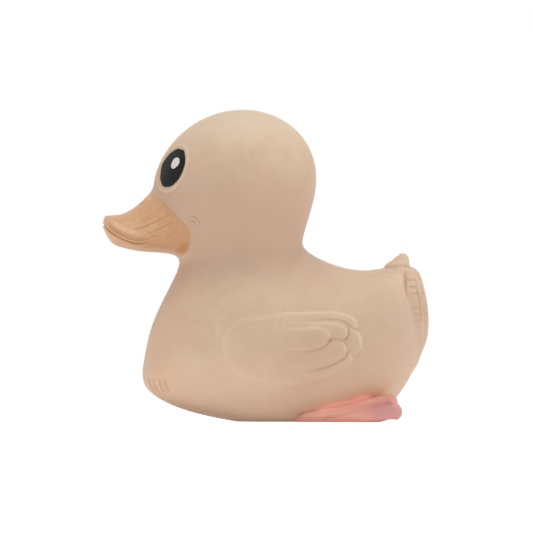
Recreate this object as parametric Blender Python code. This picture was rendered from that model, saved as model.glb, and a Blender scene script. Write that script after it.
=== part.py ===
"""A moulded rubber duck in metres, +Z up, its bill towards -X, resting on Z = 0 below the origin.

The trunk (body, neck and head) is one loft whose sections fan round the crease behind the neck. The
bill, feet, tail feathers and tuft are lofts of their own, joined to the trunk by a union, because the
real toy is moulded in one piece. Wings, eye sockets and mouth are relief pushed out along the
surface's normals. Shape tables hold shares of the sizes below, so each size can be changed by itself.
"""

import math

import bmesh
import bpy
import numpy as np
from mathutils import Matrix, Vector

# Body
BREAST_X = -0.0451
BODY_LENGTH = 0.105
BODY_HEIGHT = 0.056  # base to the lowest point of the back
BODY_WIDTH = 0.083
NECK_WIDTH = 0.0486

# Head, an egg that sits on the neck
HEAD_LENGTH = 0.0596
HEAD_HEIGHT = 0.0556
HEAD_WIDTH = 0.057
HEAD_LEAN = 0.0016  # how far its middle lies ahead of the neck's
HEAD_TILT = math.radians(6)  # how far back its upper half leans

# Bill
BILL_REACH = 0.0186  # from the face to the tip
BILL_HEIGHT = 0.0215
BILL_WIDTH = 0.036
BILL_DROP = 0.0212  # corner of the mouth below the middle of the head
MOUTH_DEPTH = 0.0009
MOUTH_WIDTH = 0.0009

# Eyes
EYE_DIAMETER = 0.0147
EYE_ALONG = 0.0227  # ahead of the middle of the head
EYE_ABOVE = 0.0063  # above the middle of the head
EYE_RECESS = 0.0006
EYE_RIM = 0.0003

# Wings
WING_LENGTH = 0.0516
WING_HEIGHT = 0.0284
WING_X = 0.0092
WING_Z = 0.0268
WING_RISE = 0.0014
FEATHER_RISE = 0.0010

# Tail
FAN_HEIGHT = 0.038
FAN_DEPTH = 0.0095
FAN_RADIUS = 0.020  # of the round that the fan wraps, at its fullest
FAN_FEATHER_WIDTH = 0.0150
FAN_SPREAD = math.radians(22)  # turn from the middle feather to each side one, at their tips
FAN_OVERLAP = 0.0017  # how far the middle feather stands over the side ones
BARB_PITCH = 0.0026
BARB_DEPTH = 0.0005
TUFT_LENGTH = 0.0095
TUFT_HEIGHT = 0.0088
TUFT_WIDTH = 0.0072

# Feet
FOOT_LENGTH = 0.0342
FOOT_HEIGHT = 0.0104
FOOT_WIDTH = 0.030
FOOT_TURN = math.radians(3)  # toes outwards
FOOT_Y = 0.0225  # ankle from the middle plane
SOLE_DEPTH = 0.0008  # how far the sole would reach below the flat base
TOE_PITCH = 0.0104  # from one toe's ridge to the next, at their tips
TOE_RIDGE = 0.0023  # height of the toes over the web
TOE_REACH = 0.0026  # tips of the toes past the web
TOE_SKEW = 0.0065  # how much further back the outer toe reaches

# Roundness of cross-sections: 2 is an ellipse, and higher numbers fill out its corners
TRUNK_FULLNESS = 2.1
BILL_FULLNESS = 2.15
FAN_FULLNESS = 2.6
FOOT_FULLNESS = 3.4

# Mesh, as rings and points in a ring
TRUNK_MESH = (44, 36)
BILL_MESH = (18, 24)
CURL_MESH = (10, 14)
FOOT_MESH = (12, 40)
FAN_SEGMENTS = 18
FINE_RELIEF = 0.00006  # relief from this height gets a finer mesh
CREASE_ANGLE = math.radians(55)  # edges sharper than this show as creases

# Shapes, as shares of the sizes above. A row is a loft's section: the point on its upper or rear
# line, the point on its lower or front line, its half-width, and how far up its widest place lies.
BODY_SHARES = (
    (0.966, 0.570, 0.966, 0.570, 0.000, 0.50),
    (0.930, 0.800, 0.961, 0.440, 0.300, 0.50),
    (0.908, 0.945, 0.935, 0.305, 0.500, 0.50),
    (0.862, 1.006, 0.884, 0.155, 0.680, 0.50),
    (0.790, 0.995, 0.818, 0.036, 0.830, 0.49),
    (0.714, 1.007, 0.733, -0.024, 0.930, 0.48),
    (0.643, 1.048, 0.600, -0.032, 0.990, 0.48),
    (0.589, 1.100, 0.448, -0.026, 1.000, 0.48),
    (0.566, 1.140, 0.305, 0.006, 0.995, 0.48),
    (0.561, 1.148, 0.182, 0.054, 0.975, 0.49),
    (0.559, 1.153, 0.067, 0.136, 0.945, 0.50),
    (0.558, 1.157, 0.001, 0.246, 0.905, 0.50),
    (0.557, 1.161, 0.002, 0.420, 0.855, 0.50),
)
NECK_SHARES = (
    (0.557, 1.165, 0.023, 0.600, 1.300, 0.50),
    (0.557, 1.170, 0.061, 0.775, 1.150, 0.50),
    (0.557, 1.177, 0.102, 0.930, 1.030, 0.50),
    (0.558, 1.190, 0.124, 1.045, 0.980, 0.50),
    (0.562, 1.232, 0.106, 1.161, 1.000, 0.50),
)
HEAD_SEAT = 0.359  # share of the head from the top of the neck to its middle
HEAD_TURNS = (-22, 0, 22, 44, 64, 80, 90)  # degrees up the head, the last one its crown
BILL_SHARES = (
    (0.00, 0.310, 0.00, 0.310, 0.00, 0.50),
    (0.02, 0.440, 0.03, 0.190, 0.42, 0.55),
    (0.13, 0.460, 0.15, 0.022, 0.66, 0.67),
    (0.35, 0.488, 0.35, -0.072, 0.79, 0.76),
    (0.56, 0.574, 0.59, -0.122, 0.86, 0.84),
    (0.77, 0.716, 0.89, -0.154, 0.92, 0.84),
    (0.97, 0.870, 1.21, -0.176, 1.00, 0.82),
    (1.60, 1.020, 1.62, -0.190, 1.00, 0.80),
    (1.90, 0.900, 1.90, -0.050, 0.80, 0.60),
    (2.10, 0.460, 2.10, 0.460, 0.00, 0.50),
)
MOUTH_SHARES = ((0.00, 0.284), (0.17, 0.150), (0.43, 0.023), (0.68, -0.037), (0.87, 0.000))
# Each wing feather: root and tip in half-lengths and half-heights of the wing, its radius in
# half-heights, and how many feather rises it stands above the pad.
FEATHER_SHARES = (
    (-0.30, 0.72, 0.80, 0.64, 0.27, 0.5),
    (0.40, 0.18, 0.86, 0.18, 0.36, 0.4),
    (-0.20, -0.52, 0.72, -0.36, 0.30, 0.5),
    (-0.20, 0.44, 0.68, 0.50, 0.25, 1.4),
    (-0.45, -0.28, 0.66, -0.06, 0.31, 1.3),
    (-0.62, 0.18, 0.38, 0.30, 0.31, 2.2),
)
FAN_SHARES = (  # from the tips down: heights fall as shares of the fan's height, depths grow inwards
    (0.00, 0.60, 0.00, 0.60, 0.00, 0.50),
    (0.02, 0.34, 0.02, 1.00, 0.56, 0.50),
    (0.07, 0.14, 0.07, 1.25, 0.84, 0.50),
    (0.16, 0.03, 0.16, 1.35, 0.97, 0.50),
    (0.30, -0.06, 0.30, 1.20, 1.00, 0.50),
    (0.50, -0.12, 0.50, 0.90, 0.92, 0.50),
    (0.70, -0.03, 0.70, 0.70, 0.72, 0.50),
    (0.88, 0.20, 0.88, 0.70, 0.42, 0.50),
    (1.00, 0.50, 1.00, 0.50, 0.00, 0.50),
)
TUFT_SHARES = (  # start along the tuft, length, height and width, and place across it
    (0.02, 0.76, 0.54, 1.10, -0.18),
    (0.34, 0.66, 1.00, 1.15, 0.00),
    (0.26, 0.62, 0.60, 0.90, 0.55),
)


def smooth_step(values, low, high):
    """0 up to low, 1 from high, and a smooth rise between them."""
    share = np.clip((values - low) / (high - low), 0, 1)
    return share * share * (3 - 2 * share)


def natural_spline(rows, at):
    """Rows of numbers read as a smooth curve, at shares of its length from 0 to 1."""
    rows = np.array(rows)
    ends = (rows[:, 0:2], rows[:, 2:4])
    steps = sum(np.linalg.norm(np.diff(end, axis=0), axis=1) for end in ends)
    knots = np.concatenate([[0], np.cumsum(steps)])
    knots /= knots[-1]
    step = np.diff(knots)
    slope = np.diff(rows, axis=0) / step[:, None]
    system = np.eye(len(rows))
    right = np.zeros_like(rows)
    for i in range(1, len(rows) - 1):
        system[i, i - 1 : i + 2] = (step[i - 1], 2 * (step[i - 1] + step[i]), step[i])
        right[i] = slope[i] - slope[i - 1]
    bend = np.linalg.solve(system, right)
    i = np.clip(np.searchsorted(knots, at) - 1, 0, len(step) - 1)
    h = step[i][:, None]
    b = (at - knots[i])[:, None] / h
    a = 1 - b
    return a * rows[i] + b * rows[i + 1] + ((a**3 - a) * bend[i] + (b**3 - b) * bend[i + 1]) * h**2


def on_sections(ball, rows, fullness, gather, groove, rings):
    """Places on a loft's sections for the points of a unit sphere, its poles at the loft's two ends."""
    along = np.arccos(np.clip(ball[:, 2], -1, 1)) / math.pi
    top_x, top_z, low_x, low_z, half_width, waist = natural_spline(rows, along).T
    turn = np.arctan2(ball[:, 1], ball[:, 0])
    turn -= gather * np.sin(2 * turn) / 2
    up = np.sign(np.sin(turn)) * np.abs(np.sin(turn)) ** (2 / fullness)
    side = np.sign(np.cos(turn)) * np.abs(np.cos(turn)) ** (2 / fullness)
    share = 1 - waist + np.where(up > 0, waist, 1 - waist) * up
    places = np.stack(
        [low_x + (top_x - low_x) * share, half_width * side, low_z + (top_z - low_z) * share], axis=1
    )
    middles = np.stack([(low_x + top_x) / 2, np.zeros(len(low_x)), (low_z + top_z) / 2], axis=1)
    reach = np.linalg.norm(places - middles, axis=1, keepdims=True)
    drawn_in = groove * (np.round(along * rings) % 2) * smooth_step(np.abs(side), 0.15, 0.5)
    return places - (places - middles) * drawn_in[:, None] / np.maximum(reach, 4 * groove + 1e-9)


def cut_finer(bm, wanted):
    """Cuts the faces at the wanted points of a unit sphere into nine, and keeps them on the sphere."""
    bm.verts.index_update()
    picked = wanted(np.array([vert.co for vert in bm.verts]))
    faces = [face for face in bm.faces if any(picked[vert.index] for vert in face.verts)]
    near = {edge.index for face in faces for edge in face.edges}
    edges = [edge for edge in bm.edges if edge.index in near]
    bmesh.ops.subdivide_edges(bm, edges=edges, cuts=2, use_grid_fill=True)
    for vert in bm.verts:
        vert.co.normalize()


def loft(rows, mesh, fullness=2.0, gather=0.0, groove=0.0, detailed=None):
    """A closed loft: a sphere whose rings are laid on the sections.

    The points of a ring can be gathered towards its two sides, up to a share of 1. Every second ring
    can be drawn in by a groove's depth, which ribs the loft across except along its middle. Where
    detailed finds a place, the mesh is finer.
    """
    rings, segments = mesh
    bm = bmesh.new()
    bmesh.ops.create_uvsphere(bm, u_segments=segments, v_segments=rings, radius=1)
    if detailed:
        cut_finer(bm, lambda ball: detailed(on_sections(ball, rows, fullness, gather, groove, rings)))
    ball = np.array([vert.co for vert in bm.verts])
    for vert, place in zip(bm.verts, on_sections(ball, rows, fullness, gather, groove, rings)):
        vert.co = place
    bmesh.ops.remove_doubles(bm, verts=bm.verts, dist=1e-6)
    bmesh.ops.recalc_face_normals(bm, faces=bm.faces)
    return bm


def push_out(bm, relief):
    """Moves each point along the surface's normal by what relief gives there."""
    bm.normal_update()
    places = np.array([vert.co for vert in bm.verts])
    normals = np.array([vert.normal for vert in bm.verts])
    for vert, place in zip(bm.verts, places + normals * relief(places)[:, None]):
        vert.co = place


def body_point(along, up):
    """X and Z of a point given as shares of the body's length and height."""
    return BREAST_X + BODY_LENGTH * along, BODY_HEIGHT * up


def head_middle():
    """X and Z of the middle of the head, which sits on the last section of the neck."""
    rear = body_point(*NECK_SHARES[-1][0:2])
    front = body_point(*NECK_SHARES[-1][2:4])
    return (rear[0] + front[0]) / 2 - HEAD_LEAN, (rear[1] + front[1]) / 2 + HEAD_SEAT * HEAD_HEIGHT


def trunk_rows():
    """Sections from the rump, round the belly and up the neck, to the crown."""
    rows = []
    for table, half_width in ((BODY_SHARES, BODY_WIDTH / 2), (NECK_SHARES, NECK_WIDTH / 2)):
        for rear_x, rear_z, front_x, front_z, width, waist in table:
            rows.append((*body_point(rear_x, rear_z), *body_point(front_x, front_z), width * half_width, waist))
    x, z = head_middle()
    for turn in HEAD_TURNS:
        reach = HEAD_LENGTH / 2 * math.cos(math.radians(turn))
        above = HEAD_HEIGHT / 2 * math.sin(math.radians(turn))
        middle = x + max(above, 0) * math.tan(HEAD_TILT)
        half_width = HEAD_WIDTH / 2 * math.cos(math.radians(turn))
        rows.append((middle + reach, z + above, middle - reach, z + above, half_width, 0.5))
    return rows


def from_capsule(x, z, start, end):
    """Distance of points from the line between two others, and how far along it each lies."""
    line = np.subtract(end, start)
    gap = np.stack([x - start[0], z - start[1]], axis=1)
    along = np.clip(gap @ line / (line @ line), 0, 1)
    return np.linalg.norm(gap - along[:, None] * line, axis=1), along


def wing_relief(places):
    """A soft-edged pad with feathers laid over each other towards its rear end."""
    half_length, half_height = WING_LENGTH / 2, WING_HEIGHT / 2
    x, z = places[:, 0] - WING_X, places[:, 2] - WING_Z
    out = (np.abs(x / half_length) ** 2.5 + np.abs(z / half_height) ** 2.5) ** (1 / 2.5)
    height = WING_RISE * (1 - smooth_step(out, 0.80, 1.02))
    for root_x, root_z, tip_x, tip_z, radius, level in FEATHER_SHARES:
        start = (root_x * half_length, root_z * half_height)
        end = (tip_x * half_length, tip_z * half_height)
        gap, along = from_capsule(x, z, start, end)
        dome = np.sqrt(np.clip(1 - (gap / (radius * half_height)) ** 4, 0, 1))
        full = WING_RISE + FEATHER_RISE * level * smooth_step(along, 0.0, 0.9)
        height = np.maximum(height, full * dome * smooth_step(along, 0.02, 0.5))
    flank = smooth_step(np.abs(places[:, 1]), 0.3 * BODY_WIDTH / 2, 0.5 * BODY_WIDTH / 2)
    return height * flank


def eye_relief(places):
    """A shallow round socket with a faint raised rim on each side of the head."""
    x, z = head_middle()
    axes = np.array([HEAD_LENGTH, HEAD_WIDTH, HEAD_HEIGHT]) / 2
    side = math.sqrt(max(0.04, 1 - (EYE_ALONG / axes[0]) ** 2 - (EYE_ABOVE / axes[2]) ** 2))
    centre = np.array([-EYE_ALONG, side * axes[1], EYE_ABOVE])
    facing = centre / axes**2
    facing /= np.linalg.norm(facing)
    offset = np.stack([places[:, 0] - x, np.abs(places[:, 1]), places[:, 2] - z], axis=1) - centre
    depth = offset @ facing
    out = np.linalg.norm(offset - depth[:, None] * facing, axis=1) / (EYE_DIAMETER / 2)
    socket = -EYE_RECESS * (1 - smooth_step(out, 0.92, 1.06))
    rim = EYE_RIM * np.exp(-(((out - 1.28) / 0.14) ** 2))
    return np.where(np.abs(depth) < EYE_DIAMETER, socket + rim, 0)


def trunk_relief(places):
    return wing_relief(places) + eye_relief(places)


def has_detail(places):
    """Where the trunk's relief is, but for the wings' soft front ends."""
    behind = places[:, 0] > WING_X - 0.28 * WING_LENGTH
    return (np.abs(trunk_relief(places)) > FINE_RELIEF) & (behind | (places[:, 2] > WING_Z + WING_HEIGHT))


def make_trunk():
    bm = loft(trunk_rows(), TRUNK_MESH, TRUNK_FULLNESS, 0.3, detailed=has_detail)
    push_out(bm, trunk_relief)
    return bm


def bill_origin():
    """X of the bill's tip and Z of the corner of the mouth."""
    x, z = head_middle()
    return x - HEAD_LENGTH / 2 - BILL_REACH, z - BILL_DROP


def mouth_relief(places):
    """A groove along the mouth line, which ends at its corner."""
    tip_x, corner_z = bill_origin()
    line = np.array([(tip_x + a * BILL_REACH, corner_z + u * BILL_HEIGHT) for a, u in MOUTH_SHARES])
    level = np.interp(places[:, 0], line[:, 0], line[:, 1])
    fade = 1 - smooth_step(places[:, 0], line[-1, 0] - 0.1 * BILL_REACH, line[-1, 0] + 0.1 * BILL_REACH)
    return -MOUTH_DEPTH * np.exp(-(((places[:, 2] - level) / MOUTH_WIDTH) ** 2)) * fade


def make_bill():
    tip_x, corner_z = bill_origin()
    rows = []
    for top_x, top_z, low_x, low_z, width, waist in BILL_SHARES:
        top = (tip_x + top_x * BILL_REACH, corner_z + top_z * BILL_HEIGHT)
        low = (tip_x + low_x * BILL_REACH, corner_z + low_z * BILL_HEIGHT)
        rows.append((*top, *low, width * BILL_WIDTH / 2, waist))
    bm = loft(rows, BILL_MESH, BILL_FULLNESS, 0.4, detailed=lambda places: mouth_relief(places) < -FINE_RELIEF)
    push_out(bm, mouth_relief)
    return bm


def make_fan_feather(side):
    """One upright tail feather, wrapped round the rump; the side ones close in below the middle one."""
    rear_x, top_z = body_point(0.989, 1.020)
    inset = abs(side) * FAN_OVERLAP
    rows = []
    for down_a, out_a, down_b, out_b, width, waist in FAN_SHARES:
        rear = (-out_a * FAN_DEPTH - inset, top_z - down_a * FAN_HEIGHT)
        front = (-out_b * FAN_DEPTH - inset, top_z - down_b * FAN_HEIGHT)
        rows.append((*rear, *front, width * FAN_FEATHER_WIDTH / 2, waist))
    mesh = (2 * round(FAN_HEIGHT / BARB_PITCH), FAN_SEGMENTS)
    bm = loft(rows, mesh, FAN_FULLNESS, groove=BARB_DEPTH)
    for vert in bm.verts:
        height = (vert.co.z - top_z) / FAN_HEIGHT + 1
        turn = side * FAN_SPREAD * (0.4 + 0.6 * height) + vert.co.y / FAN_RADIUS
        radius = FAN_RADIUS + vert.co.x
        vert.co.x = rear_x - FAN_RADIUS + radius * math.cos(turn)
        vert.co.y = radius * math.sin(turn)
    bmesh.ops.recalc_face_normals(bm, faces=bm.faces)
    return bm


def make_curl(start, length, height, width, across):
    """One lock of the tuft: a drop that rises towards the rear and leans over at its tip."""
    bm = bmesh.new()
    bmesh.ops.create_uvsphere(bm, u_segments=CURL_MESH[1], v_segments=CURL_MESH[0], radius=0.5)
    bmesh.ops.scale(bm, vec=(length * TUFT_LENGTH, width * TUFT_WIDTH, height * TUFT_HEIGHT), verts=bm.verts)
    for vert in bm.verts:
        vert.co.x += 0.35 * vert.co.z
    x, z = body_point(0.838, 1.01)
    middle = Vector((x + (start + length / 2) * TUFT_LENGTH, across * TUFT_WIDTH, z + 0.1 * height * TUFT_HEIGHT))
    bmesh.ops.translate(bm, vec=middle, verts=bm.verts)
    return bm


def make_foot(side):
    """A thick webbed foot trailing back from its ankle, its three toes ending in round lobes."""
    bm = bmesh.new()
    bmesh.ops.create_uvsphere(bm, u_segments=FOOT_MESH[1], v_segments=FOOT_MESH[0], radius=1)
    for vert in bm.verts:
        out = 1 - max(0.0, 1 - math.hypot(vert.co.x, vert.co.y)) ** 1.3
        turn = math.atan2(vert.co.y, vert.co.x)
        turn -= 0.45 * math.sin(turn)
        powers = abs(math.cos(turn)) ** FOOT_FULLNESS + abs(math.sin(turn)) ** FOOT_FULLNESS
        square = powers ** (-1 / FOOT_FULLNESS)
        along = max(0.0, 1 + out * square * math.cos(turn)) / 2
        across = out * square * math.sin(turn)
        ridges = along**4
        toe = (1 + math.cos(math.pi * FOOT_WIDTH / TOE_PITCH * across)) / 2 * ridges
        arch = (0.25 + 0.75 * along**0.7) * (1 - 0.45 * max(across, 0) ** 1.5)
        height = FOOT_HEIGHT * arch + TOE_RIDGE * (toe - ridges)
        rim = math.copysign(math.sqrt(max(1 - out**8, 0)), vert.co.z)
        sole = -SOLE_DEPTH * (1 - 1.6 * along**6)
        middle = 0.42 * height * along
        vert.co.z = middle + rim * (height - middle if rim > 0 else middle - sole)
        vert.co.x = FOOT_LENGTH * along + TOE_REACH * (1.5 * toe - 0.5 * ridges) * out
        vert.co.x += TOE_SKEW * across * along**2
        vert.co.y = across * (0.14 + 0.86 * along) * FOOT_WIDTH / 2
    bmesh.ops.rotate(bm, matrix=Matrix.Rotation(FOOT_TURN, 3, "Z"), verts=bm.verts)
    bmesh.ops.translate(bm, vec=(body_point(0.533, 0)[0], FOOT_Y, 0), verts=bm.verts)
    bmesh.ops.scale(bm, vec=(1, side, 1), verts=bm.verts)
    bmesh.ops.recalc_face_normals(bm, faces=bm.faces)
    return bm


def to_object(name, bm):
    mesh = bpy.data.meshes.new(name)
    bm.to_mesh(mesh)
    bm.free()
    obj = bpy.data.objects.new(name, mesh)
    bpy.context.collection.objects.link(obj)
    return obj


def finish_modifiers(obj):
    """Applies the modifiers of an object and removes the objects that they used."""
    mesh = bpy.data.meshes.new_from_object(obj.evaluated_get(bpy.context.evaluated_depsgraph_get()))
    helpers = [modifier.object for modifier in obj.modifiers if modifier.type == "BOOLEAN"]
    obj.modifiers.clear()
    obj.data = mesh
    for helper in helpers:
        bpy.data.objects.remove(helper)


def join_pieces(obj, pieces):
    """One closed skin from the trunk and the lofts that run into it."""
    for piece in pieces:
        union = obj.modifiers.new("join_" + piece.name, "BOOLEAN")
        union.operation = "UNION"
        union.object = piece
    finish_modifiers(obj)


def flatten_base(obj):
    """Cuts the belly and feet off flat on Z = 0, which is what the duck rests on."""
    bm = bmesh.new()
    bm.from_mesh(obj.data)
    bmesh.ops.bisect_plane(
        bm, geom=bm.verts[:] + bm.edges[:] + bm.faces[:], plane_no=(0, 0, 1), clear_inner=True, dist=1e-7
    )
    rim = [edge for edge in bm.edges if edge.is_boundary]
    bmesh.ops.contextual_create(bm, geom=rim)
    bmesh.ops.triangulate(bm, faces=bm.faces)
    bm.to_mesh(obj.data)
    bm.free()


def rubber(name, colour, roughness):
    material = bpy.data.materials.new(name)
    material.use_nodes = True
    shader = material.node_tree.nodes["Principled BSDF"]
    shader.inputs["Base Color"].default_value = (*colour, 1)
    shader.inputs["Roughness"].default_value = roughness
    shader.inputs["Metallic"].default_value = 0
    return material


def main():
    for obj in list(bpy.data.objects):
        bpy.data.objects.remove(obj)
    duck = to_object("duck", make_trunk())
    pieces = [to_object("bill", make_bill())]
    for side in (-1, 1, 0):
        pieces.append(to_object(f"fan_{side}", make_fan_feather(side)))
    for i, curl in enumerate(TUFT_SHARES):
        pieces.append(to_object(f"curl_{i}", make_curl(*curl)))
    for side in (-1, 1):
        pieces.append(to_object(f"foot_{side}", make_foot(side)))
    join_pieces(duck, pieces)
    flatten_base(duck)
    duck.data.materials.append(rubber("natural_rubber", (0.67, 0.48, 0.32), 0.6))
    duck.data.shade_smooth()
    duck.data.set_sharp_from_angle(angle=CREASE_ANGLE)


main()
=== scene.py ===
import math

import bmesh
import bpy
import numpy as np
from mathutils import Matrix, Vector
from mathutils.bvhtree import BVHTree


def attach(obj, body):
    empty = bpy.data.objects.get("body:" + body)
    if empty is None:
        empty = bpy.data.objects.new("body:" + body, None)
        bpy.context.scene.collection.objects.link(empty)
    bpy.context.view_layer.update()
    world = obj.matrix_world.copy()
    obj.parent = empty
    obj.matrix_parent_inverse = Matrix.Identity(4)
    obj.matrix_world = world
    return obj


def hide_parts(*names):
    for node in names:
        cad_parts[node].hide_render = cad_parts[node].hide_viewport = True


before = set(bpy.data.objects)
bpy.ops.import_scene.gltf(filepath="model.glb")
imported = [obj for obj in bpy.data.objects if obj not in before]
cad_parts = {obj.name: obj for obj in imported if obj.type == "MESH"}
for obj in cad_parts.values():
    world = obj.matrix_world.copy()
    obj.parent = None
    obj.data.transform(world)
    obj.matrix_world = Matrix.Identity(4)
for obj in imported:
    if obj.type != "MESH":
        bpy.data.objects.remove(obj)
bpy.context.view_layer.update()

# A moulded natural rubber duck. Shapes are worked out in millimetres and turned into metres at the end.
# The bill points to -X, the photographed side is -Y.
millimetre = 0.001


# Curves and sections

def smoothStep(values, low, high):  # from 0 at low to 1 at high, also where low is the greater
    share = np.clip((values - low) / (high - low), 0, 1)
    return share * share * (3 - 2 * share)


def plateau(values, start, full, fade, end):  # rises to 1, stays there and falls off again
    return smoothStep(values, start, full) * smoothStep(values, end, fade)


def bell(values, middle, width):
    return np.exp(-(((values - middle) / width) ** 2))


def inBox(places, low, high, out=0):  # between two corners in X and Z, and this far out or further
    x, y, z = places.T
    return (np.abs(y) >= out) & (x > low[0]) & (x < high[0]) & (z > low[1]) & (z < high[1])


def naturalSpline(rows, at):  # rows of numbers read as one smooth curve, at shares of its length
    rows = np.array(rows, float)
    ends = (rows[:, 0:2], rows[:, 2:4])
    steps = sum(np.linalg.norm(np.diff(end, axis=0), axis=1) for end in ends)
    knots = np.concatenate([[0], np.cumsum(steps)])
    knots /= knots[-1]
    step = np.diff(knots)
    slope = np.diff(rows, axis=0) / step[:, None]
    system = np.eye(len(rows))
    right = np.zeros_like(rows)
    for i in range(1, len(rows) - 1):
        system[i, i - 1:i + 2] = (step[i - 1], 2 * (step[i - 1] + step[i]), step[i])
        right[i] = slope[i] - slope[i - 1]
    bend = np.linalg.solve(system, right)
    i = np.clip(np.searchsorted(knots, at) - 1, 0, len(step) - 1)
    h = step[i][:, None]
    b = (at - knots[i])[:, None] / h
    a = 1 - b
    return a * rows[i] + b * rows[i + 1] + ((a**3 - a) * bend[i] + (b**3 - b) * bend[i + 1]) * h**2


def onSections(ball, rows, fullness, gather):  # points of a unit sphere laid on a loft's sections
    along = np.arccos(np.clip(ball[:, 2], -1, 1)) / math.pi
    topX, topZ, lowX, lowZ, halfWidth, waist = naturalSpline(rows, along).T
    turn = np.arctan2(ball[:, 1], ball[:, 0])
    turn -= gather * np.sin(2 * turn) / 2
    up = np.sign(np.sin(turn)) * np.abs(np.sin(turn)) ** (2 / fullness)
    side = np.sign(np.cos(turn)) * np.abs(np.cos(turn)) ** (2 / fullness)
    share = 1 - waist + np.where(up > 0, waist, 1 - waist) * up
    return np.stack([lowX + (topX - lowX) * share, halfWidth * side, lowZ + (topZ - lowZ) * share], axis=1)


def placedRows(table, x, z, length, height, width):  # sections given in shares of a piece's sizes
    return np.array(table) * (length, height, length, height, width / 2, 1) + (x, z, x, z, 0, 0)


def newBall(points, rings):
    bm = bmesh.new()
    bmesh.ops.create_uvsphere(bm, u_segments=points, v_segments=rings, radius=1)
    return bm


def outwards(bm):
    bmesh.ops.recalc_face_normals(bm, faces=bm.faces)
    return bm


def cutFiner(bm, wanted, cuts):  # finer faces where the skin carries detail
    bm.verts.index_update()
    picked = wanted(placesOf(bm))
    faces = [face for face in bm.faces if any(picked[vert.index] for vert in face.verts)]
    near = {edge.index for face in faces for edge in face.edges}
    edges = [edge for edge in bm.edges if edge.index in near]
    bmesh.ops.subdivide_edges(bm, edges=edges, cuts=cuts, use_grid_fill=True)
    for vert in bm.verts:
        vert.co.normalize()


def loft(rows, look, detailed=None):  # a closed skin over sections, cut finer where it is detailed
    def laid(ball):
        return onSections(ball, rows, look["fullness"], look["gather"])

    bm = newBall(look["points"], look["rings"])
    if detailed:
        cutFiner(bm, lambda ball: detailed(laid(ball)), look["cuts"])
    setPlaces(bm, laid(placesOf(bm)))
    bmesh.ops.remove_doubles(bm, verts=bm.verts, dist=1e-4)
    return outwards(bm)


def placesOf(bm):
    return np.array([vert.co for vert in bm.verts])


def setPlaces(bm, places):
    for vert, place in zip(bm.verts, places):
        vert.co = place


def normalsOf(bm):
    bm.normal_update()
    return np.array([vert.normal for vert in bm.verts])


def pushOut(bm, heights):  # moves the skin along its normals
    setPlaces(bm, placesOf(bm) + normalsOf(bm) * heights[:, None])


def relax(bm, line, reach, times):  # rounds a crease that runs along a line seen from the side
    bm.verts.index_update()
    links = np.array([[vert.index for vert in edge.verts] for edge in bm.edges])
    places = placesOf(bm)
    gap, _ = fromFold(places, line)
    share = bell(gap, 0, reach)[:, None]
    counts = np.bincount(links.ravel(), minlength=len(places))[:, None]
    for _ in range(times):
        total = np.zeros_like(places)
        np.add.at(total, links[:, 0], places[links[:, 1]])
        np.add.at(total, links[:, 1], places[links[:, 0]])
        places = places + share * (total / counts - places)
    setPlaces(bm, places)


def roundCurve(points, closed=True):  # a smooth line through a few points
    points, steps = np.array(points, float), 8
    first, last = (points[-1:], points[:2]) if closed else (points[:1], points[-1:])
    padded = np.vstack([first, points, last])
    before, here, there, after = (padded[i:len(padded) - 3 + i] for i in range(4))
    share = np.arange(steps)[:, None, None] / steps
    line = here + (there - here) * share * share * (3 - 2 * share)
    line = line + (there - before) / 2 * (share**3 - 2 * share**2 + share)
    line = line + (after - here) / 2 * (share**3 - share**2)
    line = line.transpose(1, 0, 2).reshape(-1, points.shape[1])
    return line if closed else np.vstack([line, points[-1:]])


def fromLine(places, line, closed=False):  # distance from a line in X and Z, and how far along it that is
    starts = line if closed else line[:-1]
    ends = np.roll(line, -1, axis=0) if closed else line[1:]
    x, z = places[:, 0], places[:, 2]
    best, along = np.full(len(x), 1e9), np.zeros(len(x))
    for i, (start, end) in enumerate(zip(starts, ends)):
        way = end - start
        share = np.clip(((x - start[0]) * way[0] + (z - start[1]) * way[1]) / max(way @ way, 1e-12), 0, 1)
        gap = np.hypot(x - start[0] - share * way[0], z - start[1] - share * way[1])
        nearer = gap < best
        along[nearer] = (i + share[nearer]) / len(starts)
        best = np.minimum(best, gap)
    return best, along


def fromFold(places, points):
    return fromLine(places, roundCurve(points, closed=False))


def insideDepth(places, points):  # depth inside a smooth closed outline in X and Z, below 0 outside it
    outline = roundCurve(points)
    gap, _ = fromLine(places, outline, closed=True)
    x, z = places[:, 0], places[:, 2]
    inside = np.zeros(len(x), bool)
    for start, end in zip(outline, np.roll(outline, -1, axis=0)):
        crosses = (start[1] > z) != (end[1] > z)
        rise = end[1] - start[1] or 1e-12
        inside ^= crosses & (x < start[0] + (z - start[1]) / rise * (end[0] - start[0]))
    return np.where(inside, gap, -gap)


# The trunk: body, neck and head in one skin

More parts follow.
